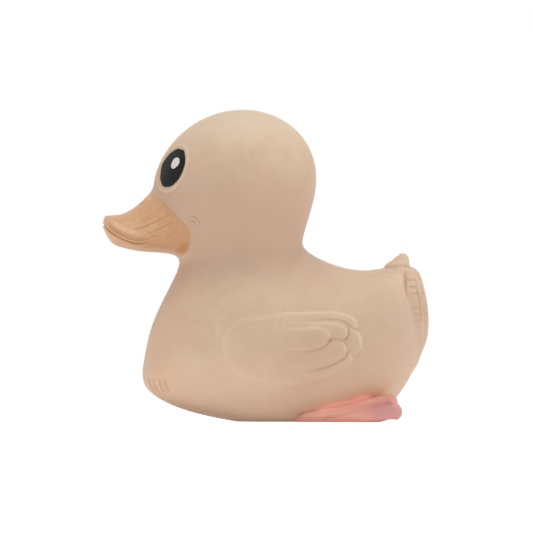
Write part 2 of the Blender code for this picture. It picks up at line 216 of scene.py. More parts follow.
trunk = {
    "breastX": -45.1, "length": 105, "height": 56, "width": 83, "neckWidth": 48.6,
    "headLength": 59.6, "headHeight": 55.6, "headWidth": 57, "headLean": 1.6, "headTilt": 6,
    "headSeat": 0.359, "headTurns": (-22, 0, 22, 44, 64, 80, 90),
    # each section: its rear and front ends, along and up, then its width and where it is widest
    "body": (
        (0.966, 0.57, 0.966, 0.57, 0, 0.5), (0.93, 0.8, 0.961, 0.44, 0.3, 0.5),
        (0.908, 0.945, 0.935, 0.305, 0.5, 0.5), (0.862, 1.006, 0.884, 0.155, 0.68, 0.5),
        (0.79, 0.995, 0.818, 0.036, 0.83, 0.49), (0.714, 1.007, 0.733, -0.024, 0.93, 0.48),
        (0.643, 1.048, 0.6, -0.032, 0.99, 0.48), (0.589, 1.1, 0.448, -0.026, 1, 0.48),
        (0.566, 1.14, 0.305, 0.006, 0.995, 0.48), (0.561, 1.148, 0.182, 0.054, 0.975, 0.49),
        (0.559, 1.153, 0.067, 0.136, 0.945, 0.5), (0.558, 1.157, 0.001, 0.246, 0.905, 0.5),
        (0.557, 1.161, 0.002, 0.42, 0.855, 0.5),
    ),
    "neck": (
        (0.557, 1.165, 0.023, 0.6, 1.3, 0.5), (0.557, 1.17, 0.061, 0.775, 1.15, 0.5),
        (0.557, 1.177, 0.102, 0.93, 1.03, 0.5), (0.558, 1.19, 0.124, 1.045, 0.98, 0.5),
        (0.562, 1.232, 0.106, 1.161, 1, 0.5),
    ),
    "fullness": 2.1, "gather": 0.3, "rings": 176, "points": 172, "cuts": 2, "uneven": 0.07,
    # where the skin carries detail: two corners in X and Z, and how far out it starts
    "fine": (
        ((-18, 11), (37, 42.5), 15), ((-99, 64), (-22, 103), 4), ((-99, 8), (-33, 18), 0),
        ((45.5, 42), (54, 58), 4),
    ),
    # the crease behind the neck, how far and how often it is smoothed, and its corner's place, reach and fill
    "crease": ((13.8, 65), (7, 60), (-0.4, 55)), "creaseReach": 3.2, "creaseTimes": 36,
    "nape": (13.1, 64.4, 1.7, 0.65),
    # painted shade along the sole's edge where it meets the floor and on the keel that faces down, and the
    # steepness, the side and the height that bound the keel
    "soleShade": 2.2, "soleEdge": 0.8, "keelShade": 1.9, "keelSteep": (0.55, 0.85), "keelSide": (0.5, 0.18),
    "keelUp": (13, 5),
}


def bodyPoint(along, up):
    return trunk["breastX"] + trunk["length"] * along, trunk["height"] * up


def headMiddle():
    rear, front = bodyPoint(*trunk["neck"][-1][0:2]), bodyPoint(*trunk["neck"][-1][2:4])
    up = (rear[1] + front[1]) / 2 + trunk["headSeat"] * trunk["headHeight"]
    return (rear[0] + front[0]) / 2 - trunk["headLean"], up


def trunkRows():
    place = trunk["breastX"], 0, trunk["length"], trunk["height"]
    x, z = headMiddle()
    rows = []
    for turn in trunk["headTurns"]:
        out, up = math.cos(math.radians(turn)), math.sin(math.radians(turn))
        above = trunk["headHeight"] / 2 * up
        middle = x + max(above, 0) * math.tan(math.radians(trunk["headTilt"]))
        reach = trunk["headLength"] / 2 * out
        rows.append((middle + reach, z + above, middle - reach, z + above, trunk["headWidth"] / 2 * out, 0.5))
    body = placedRows(trunk["body"], *place, trunk["width"])
    return np.vstack([body, placedRows(trunk["neck"], *place, trunk["neckWidth"]), rows])


def isDetailed(places):
    return np.any([inBox(places, *box) for box in trunk["fine"]], axis=0)


# painted shade: darker where the underside faces down, and along the edge that meets the floor
def paintedUnderShade(places, normals):
    _, y, z = np.abs(normals).T
    up = places[:, 2]
    keel = trunk["keelShade"] * smoothStep(up, *trunk["keelUp"])
    keel = keel * smoothStep(z, *trunk["keelSteep"]) * smoothStep(y, *trunk["keelSide"])
    return keel + trunk["soleShade"] * bell(up, 0, trunk["soleEdge"])


def handMade(places):  # slow unevenness of a hand-finished mould
    x, y, z = places.T
    waves = np.sin(x / 9.1 + 1.3 * np.sin(z / 13.0)) * np.sin(z / 11.7 + y / 15.0)
    return trunk["uneven"] * (waves + 0.6 * np.sin(y / 7.3 + x / 21.0 + z / 17.0))


def toneOf(dark, pale, least):  # painted shade (dark) hides the painted highlights (pale), which count below 0
    return np.where(dark > least, dark, -pale)


# Wings: a soft pad whose feathers lie over each other like tiles towards the rear

wing = {
    "pad": (
        (-16.6, 28.9), (-15.9, 24.5), (-13.6, 20.1), (-9.5, 16.9), (-3.7, 14.6), (4, 13), (11.8, 13.2),
        (19.5, 14.9), (24.9, 16.9), (28.9, 19.4), (31, 22.4), (33.6, 24.6), (34.9, 27.2), (34.9, 30.6),
        (33.3, 33.6), (33.1, 36.4), (31.4, 38.9), (26.8, 40.5), (21.4, 40.9), (13.8, 40.5), (6.6, 39.7),
        (-1, 38.9), (-8.8, 38), (-13.3, 35.4), (-15.9, 32.4),
    ),
    # the pad's raised ring is painted paler on top as a painted highlight
    "window": ((-24, 8), (42, 46), 15), "rearward": (-6, 24), "padRise": 1.5, "softFront": 3.6,
    "softRear": 1.1, "ring": (0.8, 1.1), "ringRise": 0.75, "ringHighlight": 0.36, "ringFade": 0.6,
    # outline, height over the body, and from where to where along X it rises out of the pad
    "feathers": (
        (((2, 33), (13, 33), (22, 33), (27, 32.6), (30.4, 32.8), (33, 33.9), (33.1, 36.6), (31.2, 38.9),
          (26.8, 40.4), (21.4, 40.8), (13.4, 40.5), (4, 39.6)), 2.35, (-4, 15)),
        (((29, 34.2), (31.6, 34), (33.7, 32.8), (34.9, 30.4), (34.9, 27.6), (33.8, 25), (31.9, 23.8),
          (29.8, 24.6), (28, 28.5)), 2.2, (20, 28)),
        (((4, 20.6), (15, 21.4), (23, 23.4), (27.5, 25.8), (30.2, 25.6), (31.3, 23.8), (30.9, 21.6),
          (28.7, 19), (24, 16.5), (18, 14.5), (12, 13.7), (4, 13.6)), 2.15, (4, 21)),
        (((2, 36.4), (15.1, 36.8), (21.6, 36.9), (26.2, 36.3), (28.9, 35), (29.8, 33.4), (29.4, 31.4),
          (28.2, 30), (22, 30), (8, 30.5)), 2.95, (2, 17)),
        (((0, 28.5), (16, 30.3), (24.3, 30.6), (27, 30.2), (28.8, 28.9), (29.5, 26.9), (29.1, 24.9),
          (27.4, 23.1), (23.4, 21.1), (19.3, 19.8), (15.1, 18.9), (11.8, 18.3), (4, 17.4)), 3.15, (2, 18)),
        (((-8, 33.6), (4, 34.6), (13, 35.2), (17.6, 35.4), (20.9, 34.8), (22.9, 33.3), (23.6, 31.2),
          (22.7, 29.2), (21.2, 27.9), (18.4, 26.9), (14.3, 26.2), (11, 25.9), (2, 26.4), (-8, 27.5)),
         3.9, (-2, 16)),
    ),
    # cuts between them, painted dark with shade, each with a share of the full depth
    "grooves": (
        (((12.5, 36.8), (17, 37.2), (22, 37.6), (26, 37.4), (28.5, 36.7), (30, 35.4), (31.2, 34.5)), 0.75),
        (((30, 34.6), (30.1, 32.8), (29.6, 31.2), (28.6, 30.2)), 1),
        (((10, 25.7), (15, 26), (19, 26.8), (22.3, 28.7), (23.7, 31)), 0.7),
        (((12, 18.2), (16, 18.9), (21, 20), (25.5, 21.8), (28.6, 23.8), (29.9, 25.8)), 0.85),
        (((31.4, 34.5), (32.6, 34.2), (33.6, 33.5)), 0.9), (((31.5, 23.7), (33.2, 24.5), (34.6, 26.4)), 0.8),
        (((25, 30.7), (27, 30.6), (28.6, 30.1)), 0.4),
    ),
    # a feather's edge towards the light is painted paler as a painted highlight
    "edge": 1.7, "edgeTop": 0.86, "dish": 3.5, "highlightBand": (0.5, 0.55), "wornAndHighlight": 0.82,
    "towardsLight": (0.15, 0, 0.2), "groove": 0.5, "grooveWidth": 0.36,
    "longFade": (0, 0.4, 0.88, 1), "shortFade": (0, 0.15, 0.88, 1), "litSide": (-0.05, 0.2),
    "covers": (-0.2, 0.5),  # how deep inside its outline a feather hides the painted highlights under it
}


def wingRelief(places):  # height over the body, and tone: painted shade in a groove, below 0 a painted highlight on a feather's lit edge and on the pad's ring
    height, tone = np.zeros((2, len(places)))
    near = inBox(places, *wing["window"])
    spots = places[near]
    x, depth = spots[:, 0], insideDepth(spots, wing["pad"])
    rear = smoothStep(x, *wing["rearward"])
    soft = wing["softFront"] + (wing["softRear"] - wing["softFront"]) * rear
    ring = bell(depth, *wing["ring"]) * (1 - wing["ringFade"] * rear)
    rise = wing["padRise"] * smoothStep(depth, -0.35 * soft, soft) + wing["ringRise"] * ring
    pale, dark = wing["ringHighlight"] * ring, np.zeros(len(x))
    for outline, top, shownFrom in wing["feathers"]:
        depth = insideDepth(spots, outline)
        shown = smoothStep(x, *shownFrom)
        bulge = np.sqrt(1 - (1 - np.clip(depth / wing["edge"], 0, 1)) ** 2)
        dish = wing["edgeTop"] + (1 - wing["edgeTop"]) * smoothStep(depth, 0, wing["dish"])
        rise = np.maximum(rise, shown * top * bulge * dish)
        upper = smoothStep(insideDepth(spots - wing["towardsLight"], outline) - depth, *wing["litSide"])
        pale = pale * (1 - shown * smoothStep(depth, *wing["covers"]))
        pale = np.maximum(pale, wing["wornAndHighlight"] * shown * upper * bell(depth, *wing["highlightBand"]))
    for points, cut in wing["grooves"]:
        gap, along = fromFold(spots, points)
        fade = plateau(along, *wing["longFade" if len(points) > 4 else "shortFade"])
        trench = bell(gap, 0, wing["grooveWidth"]) * fade * cut
        rise = rise - wing["groove"] * trench
        dark = np.maximum(dark, trench)
    height[near], tone[near] = rise, toneOf(dark, pale, 0.15)
    return height, tone


# Eyes: shallow round sockets with a raised ring, and the rounds of paint in them

eye = {
    "diameter": 15, "along": 23.9, "above": 6.8, "lean": 0.09, "recess": 0.45, "rim": 0.5,
    # shares of the socket's radius: where its floor ends, the ring's place and width, and tones with theirs:
    # painted shade at the socket's edge and outside the ring, and a painted highlight, below 0, on the ring
    "floorEdge": (1.07, 0.95), "ring": (1.2, 0.075),
    "tones": ((0.8, 1.06, 0.04), (0.45, 1.32, 0.04), (-0.8, 1.2, 0.06)),
}
# sizes and places of the paint, how thick it is, how uneven and swollen its edge, and its colours
eyePaint = {
    "black": {
        "name": "eye", "diameter": 15, "back": 0, "up": 0, "thick": 0.07, "uneven": 0.016, "phase": 0.8,
        "swell": 0.07, "base": (0.0115, 0.011, 0.0115), "wornAndHighlight": (0.0165, 0.0155, 0.015),
    },
    "white": {
        "name": "eye_glint", "diameter": 4.5, "back": 1.9, "up": 1.6, "thick": 0.06, "uneven": 0.03,
        "phase": 2.1, "swell": 0, "base": (0.8, 0.79, 0.77), "wornAndHighlight": (0.7, 0.69, 0.67),
    },
}


def eyeAxes(side):  # the middle of the socket, and which way it faces
    x, z = headMiddle()
    half = np.array([trunk["headLength"], trunk["headWidth"], trunk["headHeight"]]) / 2
    out = math.sqrt(1 - (eye["along"] / half[0]) ** 2 - (eye["above"] / half[2]) ** 2)
    centre = np.array([-eye["along"], side * out * half[1], eye["above"]])
    facing = centre / half**2
    facing = facing / np.linalg.norm(facing) + [0, 0, eye["lean"]]
    return centre + np.array([x, 0, z]), facing / np.linalg.norm(facing)


def eyeRelief(places):
    centre, facing = eyeAxes(1)
    offset = np.abs(places) * [0, 1, 0] + places * [1, 0, 1] - centre
    depth = offset @ facing
    out = np.linalg.norm(offset - depth[:, None] * facing, axis=1) / (eye["diameter"] / 2)
    height = eye["rim"] * bell(out, *eye["ring"]) - eye["recess"] * smoothStep(out, *eye["floorEdge"])
    tone = sum(share * bell(out, at, width) for share, at, width in eye["tones"])
    near = np.abs(depth) < eye["diameter"]
    return np.where(near, height, 0), np.where(near, tone, 0)


def makeEyeRound(side, skinTree, look):  # a thin domed round of paint laid on the skin below it
    centre, facing = (Vector(part) for part in eyeAxes(side))
    upright = (Vector((0, 0, 1)) - facing * facing.z).normalized()
    rearward = upright.cross(facing) * side
    if rearward.x < 0:
        rearward = -rearward
    phase, swell = look["phase"] + side, look["swell"]
    bm = newBall(96, 48)
    for vert in bm.verts:
        turn = math.atan2(vert.co.y, vert.co.x)
        waves = math.sin(3 * turn + phase) + 0.7 * math.sin(5 * turn + 2 * phase) + 0.45 * math.sin(9 * turn)
        edge = 1 + look["uneven"] * waves + swell * (bell(turn, -0.35, 0.55) + bell(turn, 1.0, 0.2))
        reach = look["diameter"] / 2 * edge * math.hypot(vert.co.x, vert.co.y)
        spot = centre + rearward * (look["back"] + reach * math.cos(turn))
        spot = spot + upright * (look["up"] + reach * math.sin(turn))
        hit = skinTree.ray_cast(spot + facing * 6, -facing)[0] or spot
        vert.co = hit + facing * (look["thick"] * vert.co.z)
    return outwards(bm)


# Fine folds: lines on both sides of the duck, in X and Z, each with a depth, a width and the height of a
# raised lip below it; the line carries painted shade and the lip a painted highlight

folds = {
    "billLines": (
        (((-50.6, 69.6), (-48, 70.4), (-44.3, 71.7), (-40.6, 73.4), (-37.3, 75.1), (-33.6, 77.2)),
         0.3, 0.33, 0.9),
        (((-45, 68.4), (-42.4, 69.4), (-39.6, 70.6), (-36.4, 72.2), (-33, 73.6)), 0.24, 0.33, 0.9),
        (((-47.6, 73.3), (-43.8, 74.9), (-40.8, 77), (-38, 79.3)), 0.13, 0.4, 0.6),
        (((-51.5, 71.6), (-46.6, 72.7), (-42.3, 74.6), (-38.8, 76.8)), 0.12, 0.36, 0.8),
        (((-56, 71.2), (-53.6, 71.2), (-51, 71.5), (-48.6, 72.1)), 0.14, 0.34, 0.6),
        (((-52.2, 73.6), (-47.4, 75), (-43.4, 77.4)), 0.08, 0.5, 0.2),
        (((-42, 66.4), (-37.4, 67.6), (-32.4, 70.2)), 0.1, 0.5, 0.3),
    ),
    # X, Z, radii, depth and width of the cheek's wrinkles, their arc in degrees and how far out they start,
    # their lip's shift, width in widths of the wrinkle and height, and the tones of their painted shade and
    # painted highlight
    "cheek": (-28, 71.9, (2.3, 3.7), 0.48, 0.32), "cheekArc": (-25, 15, 70, 115), "cheekOut": 8,
    "cheekLip": (0.75, 1.4, 0.9), "cheekTones": (0.28, 0.5),
    "breast": (
        (((-43.3, 16.6), (-43, 14.6), (-42, 12.2), (-40.2, 10)), 0.38, 0.34, 0.8),
        (((-41.6, 16.4), (-41.2, 14), (-40.2, 11.8), (-38.6, 10)), 0.46, 0.34, 0.8),
        (((-39.5, 16.4), (-39.2, 14.6), (-38.4, 12.4), (-37.2, 10.6)), 0.46, 0.34, 0.8),
        (((-37.6, 16.2), (-37.1, 14.3), (-36.5, 12.4), (-36, 10.6)), 0.4, 0.32, 0.8),
    ),
    # how far a line reaches, where it fades along itself, and its lip's shift and width in widths of the line
    "margin": 2, "fade": (0, 0.22, 0.8, 1), "lipShift": (0.25, 1.6), "lipWidth": 1.3,
    # the depths at which a line's painted shade is as dark, or its lip's painted highlight as pale, as it
    # gets, and how much of the breast folds' painted shade is tinted warm
    "darkest": 0.4, "palest": 0.3, "paleTone": 0.6, "breastFoldShadeTint": 0.5,
}


def foldRelief(places, lines):
    height, dark, pale = np.zeros((3, len(places)))
    for points, depth, width, lip in lines:
        line = roundCurve(points, closed=False)
        near = inBox(places, line.min(axis=0) - folds["margin"], line.max(axis=0) + folds["margin"])
        shiftX, shiftZ = folds["lipShift"]
        gap, along = fromLine(places[near], line)
        below, _ = fromLine(places[near], line - [shiftX, shiftZ * width])
        fade = plateau(along, *folds["fade"])
        trench = bell(gap, 0, width) * fade
        raised = lip * bell(below, 0, folds["lipWidth"] * width) * fade
        height[near] += depth * (raised - trench)
        dark[near] = np.maximum(dark[near], trench * min(1, depth / folds["darkest"]))
        pale[near] = np.maximum(pale[near], folds["paleTone"] * raised * min(1, depth / folds["palest"]))
    return height, toneOf(dark, pale, 0.15)


def cheekRelief(places):
    x, z, radii, depth, width = folds["cheek"]
    shift, wider, lip = folds["cheekLip"]
    darkTone, paleTone = folds["cheekTones"]
    reach = np.hypot(places[:, 0] - x, places[:, 2] - z)
    turn = np.degrees(np.arctan2(places[:, 2] - z, places[:, 0] - x))
    arc = plateau(turn, *folds["cheekArc"]) * (np.abs(places[:, 1]) > folds["cheekOut"])
    height, dark, pale = np.zeros((3, len(places)))
    for radius in radii:
        trench = bell(reach, radius, width) * arc
        raised = bell(reach, radius - shift, wider * width) * arc
        height += depth * (lip * raised - trench)
        dark, pale = np.maximum(dark, darkTone * trench), np.maximum(pale, paleTone * raised)
    return height, toneOf(dark, pale, 0.1)


# The bill: upper and lower beak with a lip line

bill = {
    "reach": 18.6, "height": 21.5, "width": 36, "drop": 21.2, "fillet": 3,
    "fullness": 2.15, "gather": 0.4, "rings": 90, "points": 150, "cuts": 1, "fineBefore": -30,
    "sections": (
        (0, 0.31, 0, 0.31, 0, 0.5), (0.02, 0.44, 0.03, 0.19, 0.42, 0.55),
        (0.13, 0.46, 0.15, 0.022, 0.66, 0.67), (0.35, 0.488, 0.35, -0.072, 0.79, 0.76),
        (0.56, 0.574, 0.59, -0.122, 0.86, 0.84), (0.77, 0.716, 0.89, -0.154, 0.92, 0.84),
        (0.97, 0.87, 1.21, -0.176, 1, 0.82), (1.6, 1.02, 1.62, -0.19, 1, 0.8),
        (1.9, 0.9, 1.9, -0.05, 0.8, 0.6), (2.1, 0.46, 2.1, 0.46, 0, 0.5),
    ),
    "mouth": (
        (-61, 73.6), (-59.4, 71.9), (-56.7, 69.3), (-52, 66.7), (-47.3, 65.5), (-43.8, 65.9), (-42, 66.8),
    ),
    "mouthDepth": 0.42, "mouthWidth": 0.32, "mouthEnd": (-42, -46.5),
    # over the mouth a thin lip, a fine cut and the upper beak's ledge, each with its height over the mouth,
    # then the painted shade under the ledge and the painted highlight on it
    "lip": 0.18, "lipAt": (0.7, 0.4), "lowerLipAt": (-1, 0.6), "tuck": 0.16, "tuckAt": (1.35, 0.34),
    "ledge": 0.75, "ledgeAt": (1.2, 2.7, 3, 8.5), "ledgeAlong": (-59.4, -55.5, -46, -35),
    "shadeAt": (1.9, 0.7), "highlightAt": (3.7, 1.2), "highlightAlong": (-59, -55, -50, -42),
    "nostril": (-45.6, 4.6, 3, 1.1, 0.5), "nostrilAbove": 72,  # X, Y, length, width, depth
    # painted shade in the mouth, the nostrils, the cut and under the ledge, and painted highlights on the
    # lips and the ledge
    "darkTones": (0.8, 0.7, 0.55, 0.4), "paleTones": (0.4, 0.75),
    # where the paint ends on the face, round the side of the bill
    "paintEdge": (
        (-70, 90), (-52, 90.5), (-44.6, 86.4), (-41.8, 83.6), (-37.4, 80.4), (-33.2, 76.4), (-30.2, 73.2),
        (-28.2, 70.4), (-28.1, 67.6), (-28.5, 64.8), (-29.2, 62.6), (-30.6, 61.3), (-33, 60.6), (-40, 58.5),
        (-70, 56),
    ),
}


def billRows():
    x, z = headMiddle()
    tipX = x - trunk["headLength"] / 2 - bill["reach"]
    return placedRows(bill["sections"], tipX, z - bill["drop"], bill["reach"], bill["height"], bill["width"])


def greatest(tones, forms):  # the greatest of some forms, each times its own tone
    return np.max([tone * form for tone, form in zip(tones, forms)], axis=0)


def billRelief(places):
    x, y, z = places.T
    line = roundCurve(bill["mouth"], closed=False)
    over = z - np.interp(x, line[:, 0], line[:, 1])
    fade = smoothStep(x, *bill["mouthEnd"])
    reach = plateau(x, *bill["ledgeAlong"])
    trench = bell(over, 0, bill["mouthWidth"]) * fade
    lips = (bell(over, *bill["lipAt"]) + bell(over, *bill["lowerLipAt"])) * fade
    ledge, tuck = plateau(over, *bill["ledgeAt"]) * reach, bell(over, *bill["tuckAt"]) * reach
    shade = bell(over, *bill["shadeAt"]) * reach
    # a painted highlight along the top of the upper beak's ledge
    glow = bell(over, *bill["highlightAt"]) * plateau(x, *bill["highlightAlong"])
    height = bill["ledge"] * ledge - bill["tuck"] * tuck + bill["lip"] * lips - bill["mouthDepth"] * trench
    middleX, middleY, length, width, depth = bill["nostril"]
    dimple = bell(x, middleX, length / 2) * bell(np.abs(y), middleY, width) * (z > bill["nostrilAbove"])
    dark = greatest(bill["darkTones"], (trench, dimple, tuck, shade))
    return height - depth * dimple, toneOf(dark, greatest(bill["paleTones"], (lips, glow)), 0.1)


def paintDepth(places):
    return insideDepth(places, bill["paintEdge"])


# Joining skins: a fillet of the given width where two of them cross, as a mould has

def signedGap(tree, place):
    nearest, normal, _, gap = tree.find_nearest(place)
    offset = place - nearest
    side = 1 if offset.dot(normal) >= 0 else -1
    return side * gap, (offset * (side / gap) if gap > 0.02 else normal)


def blendSkins(first, second, width, steps=5):
    trees = [BVHTree.FromBMesh(first), BVHTree.FromBMesh(second)]
    moved = []
    for skin, own, other, mate in ((first, *trees, second), (second, *trees[::-1], first)):
        around = placesOf(mate)
        low, high = around.min(axis=0) - width, around.max(axis=0) + width
        for vert in skin.verts:
            if not all(low[k] < vert.co[k] < high[k] for k in range(3)):
                continue
            start, _ = signedGap(other, vert.co)
            if abs(start) >= width:
                continue
            share = 0.5 + 0.5 * start / width
            level = start * (1 - share) - width * share * (1 - share)
            sink = min(max(-start / width, 0), 1)
            target = level * sink * sink * (3 - 2 * sink) if start < 0 else 0
            place = vert.co.copy()
            for _ in range(steps):
                a, towardsA = signedGap(own, place)
                b, towardsB = signedGap(other, place)
                share = min(max(0.5 + 0.5 * (b - a) / width, 0), 1)
                level = b * (1 - share) + a * share - width * share * (1 - share)
                slope = towardsA * share + towardsB * (1 - share)
                place = place - slope * ((level - target) / max(slope.length_squared, 0.3))
            moved.append((vert, place))
    for vert, place in moved:
        vert.co = place


# Tail: three upright feathers wrapped round the rump, and a tuft above them

tail = {
    "height": 38, "depth": 9.5, "radius": 20, "featherWidth": 15, "spread": 22, "lean": 0.6, "overlap": 1.2,
    "top": (0.989, 1.02), "fullness": 2.6, "gather": 0, "rings": 150, "points": 64, "fillet": 2.6,
    "sections": (
        (0.66, 0, 0.66, 0, 0, 0.5), (0.44, 0.02, 1, 0.02, 0.56, 0.5), (0.28, 0.07, 1.25, 0.07, 0.84, 0.5),
        (0.15, 0.16, 1.35, 0.16, 0.97, 0.5), (0.02, 0.3, 1.2, 0.3, 1, 0.5), (-0.07, 0.5, 0.9, 0.5, 0.92, 0.5),
        (0.01, 0.7, 0.7, 0.7, 0.72, 0.5), (0.3, 0.88, 0.75, 0.88, 0.42, 0.5),
        (0.52, 0.97, 0.8, 0.97, 0.2, 0.5), (0.7, 1, 0.7, 1, 0, 0.5),
    ),
    # the barbs' reach across half a side feather and half the middle one, and where down it they show; the
    # barbs and the crease carry painted shade, the rims a painted highlight
    "barbPitch": 2.5, "barbDepth": 0.5, "barbWidth": 0.3, "barbArch": 0.12, "barbTone": 0.9,
    "sideBarbs": (0.2, 0.3, 0.75, 0.9), "middleBarbs": (0.24, 0.34, 0.5, 0.65),
    "barbsDown": (1.5, 3.5, 17.5, 27), "barbsFaint": (10, 11.5, 14, 15.5), "fainter": 0.8,
    "rim": (0.9, 0.1), "rimRise": 0.55, "rimDown": (0.5, 3, 26, 34), "rimPale": 1.6, "rimPaleDown": (30, 20),
    "rimInward": (-0.5, 0.3), "spine": (0, 0.16), "spineRise": 0.25,
    "crease": (0.2, 0.55), "creaseDepth": 0.5, "creaseTone": 2.2, "creaseDown": (0.5, 3, 14, 26),
    # the fold in front of the feathers, painted with warm shade, and the soft bump before it, painted paler
    # as a highlight
    "fold": ((51, 56), (51, 53), (51.1, 49.5), (51.5, 46.4), (52.4, 43.8)), "foldDepth": 0.08,
    "foldWidth": 0.5, "foldTone": 2.5, "foldInner": 5, "foldOuter": (15.5, 12.5),
    "foldFade": (0, 0.3, 0.7, 1), "foldShadeTint": 0.35,
    "bump": 0.6, "bumpTone": 0.35, "bumpX": (48.2, 1.7), "bumpZ": (53.6, 2.8),
}


def rumpRelief(places):
    x, z, out = places[:, 0], places[:, 2], np.abs(places[:, 1])
    away = (out > tail["foldInner"]) * smoothStep(out, *tail["foldOuter"])
    gap, along = fromFold(places, tail["fold"])
    trench = bell(gap, 0, tail["foldWidth"]) * plateau(along, *tail["foldFade"]) * away
    bump = bell(x, *tail["bumpX"]) * bell(z, *tail["bumpZ"]) * away
    height = tail["bump"] * bump - tail["foldDepth"] * trench
    # painted shade in the fold, and a painted highlight on the bump
    return height, tail["foldTone"] * trench - tail["bumpTone"] * bump


def makeTailFeather(side):  # shaped flat, then bent round the rump
    rearX, topZ = bodyPoint(*tail["top"])
    inset, width = abs(side) * tail["overlap"], tail["featherWidth"]
    rows = placedRows(tail["sections"], -inset, topZ, -tail["depth"], -tail["height"], width)
    bm = loft(rows, tail)

    def turnOf(places):
        lean = 1 - tail["lean"] * (topZ - places[:, 2]) / tail["height"]
        return side * math.radians(tail["spread"]) * lean + places[:, 1] / tail["radius"]

    places = placesOf(bm)
    y, down = places[:, 1], topZ - places[:, 2]
    half = np.interp(down, topZ - rows[:, 1], rows[:, 4])
    across = y / np.maximum(half, 0.5)
    out = np.abs(across)
    count = (down + (0 if side else tail["barbArch"]) * np.abs(y)) / tail["barbPitch"]
    barbs = bell(((count + 0.5) % 1 - 0.5) * tail["barbPitch"], 0, tail["barbWidth"])
    barbs = barbs * plateau(out, *tail["sideBarbs" if side else "middleBarbs"])
    faint = tail["fainter"] * plateau(down, *tail["barbsFaint"])
    barbs = barbs * plateau(down, *tail["barbsDown"]) * (1 - faint)
    inward = smoothStep(-side * across, *tail["rimInward"]) if side else 1
    rim = tail["rimRise"] * bell(out, *tail["rim"]) * inward + tail["spineRise"] * bell(out, *tail["spine"])
    gap = tail["radius"] * np.abs(turnOf(places)) - half  # from the middle feather's edge
    crease = abs(side) * bell(gap, *tail["crease"]) * plateau(down, *tail["creaseDown"])
    raised = rim * plateau(down, *tail["rimDown"])
    pushOut(bm, raised - tail["barbDepth"] * barbs - tail["creaseDepth"] * crease)
    # a painted highlight on the raised rims, and painted shade in the barbs and the crease
    pale = tail["rimPale"] * rim * (1 - crease) * smoothStep(down, *tail["rimPaleDown"])
    tone = np.maximum(tail["barbTone"] * barbs, tail["creaseTone"] * crease) - pale
    places = placesOf(bm)
    turn, reach = turnOf(places), tail["radius"] + places[:, 0]
    bentX = rearX - tail["radius"] + reach * np.cos(turn)
    setPlaces(bm, np.stack([bentX, reach * np.sin(turn), places[:, 2]], axis=1))
    return outwards(bm), tone


# middle of each lump, its half-lengths, and its lean in degrees about Y
tuft = {
    "lumps": (
        ((46.5, 0, 56.8), (3.3, 3.8, 2.4), -22), ((49.4, 0.2, 57.9), (3.2, 3.2, 3.3), -50),
        ((50.3, 0, 59.5), (2.2, 2.4, 2.55), -12), ((47.9, 2.7, 56.9), (3.4, 2.3, 2.2), -26),
        ((48, -2.6, 56.8), (3.3, 2.3, 2.2), -26), ((51, 2, 57.6), (1.7, 1.9, 2.1), -6),
        ((51.1, -1.9, 57.5), (1.7, 1.9, 2.1), -6),
    ),
    "grain": 0.3, "smoothing": 7, "fillet": 1.2,
    "foot": (56.5, 0.7), "footShadow": 1.3, "pale": 0.6,  # a line of painted shadow round its foot under the curls, and the rest painted paler as painted light
}


# Feet: a web that slopes outwards, and three toes that end in round lobes

foot = {
    "x": 10.87, "y": 22.5, "length": 34.2, "height": 10.2, "width": 30, "turn": 3, "fullness": 3.4,
    "skew": 6.5, "heelHeight": 0.25, "outerDrop": 0.55, "tipDrop": 0.16, "heelWidth": 0.14,
    "tipCurl": 1.3, "sole": 0.8, "soleLift": 1.6, "grain": 0.36, "smoothing": 5, "paintReach": 4.6,
    "blushReach": 4.5, "blush": 0.55, "blushAlong": (8, 26),
    # painted light on the upper web under the belly, and painted shade along the web's lower edge at the
    # floor
    "lit": 0.9, "litUp": (0.6, 3.2), "litAlong": (39, 28), "edgeTone": 0.8, "edgeUp": (0, 0.7),
    # where the foot's paint ends on the belly above it
    "paintEdge": (
        (9.5, -2), (11, 0.9), (14, 2.5), (17, 4.3), (20, 6.2), (25, 7.6), (30, 8.6), (33, 9.8), (36, 10.2),
        (39, 9.7), (42, 8.9), (44, 7), (44.5, 3), (44, -2), (30, -4),
    ),
    # each toe: where it rises out of the web and where its lobe sits, then its radii there, along, across, up
    "toes": (
        ((22, 6, 0.6), (47.1, 13.9, 3.85), 1.2, 3.45), ((20, 1, 3.6), (44.9, 1.7, 7.15), 2.2, 3.45),
        ((20, -4, 2), (39.9, -9, 3.9), 1.4, 3.2),
    ),
}


def makeWeb():
    bm = newBall(120, 40)
    full = foot["fullness"]
    for vert in bm.verts:
        out = 1 - max(0.0, 1 - math.hypot(vert.co.x, vert.co.y)) ** 1.3
        turn = math.atan2(vert.co.y, vert.co.x)
        square = (abs(math.cos(turn)) ** full + abs(math.sin(turn)) ** full) ** (-1 / full)
        along = max(0.0, 1 + out * square * math.cos(turn)) / 2
        across = out * square * math.sin(turn)
        arch = foot["heelHeight"] + (1 - foot["heelHeight"]) * along**0.7
        arch = arch * (1 - foot["outerDrop"] * max(across, 0) ** 1.3)
        height = foot["height"] * arch * (1 - foot["tipDrop"] * along**4)
        rim = math.copysign(math.sqrt(max(1 - out**6, 0)), vert.co.z)
        sole = -foot["sole"] * (1 - foot["soleLift"] * along**6)
        middle = 0.42 * height * along
        x = foot["x"] + foot["length"] * along - foot["tipCurl"] * along**4 + foot["skew"] * across * along**2
        y = across * (foot["heelWidth"] + (1 - foot["heelWidth"]) * along) * (foot["width"] / 2 - 0.8)
        vert.co = x, y, middle + rim * (height - middle if rim > 0 else middle - sole)
    return outwards(bm)


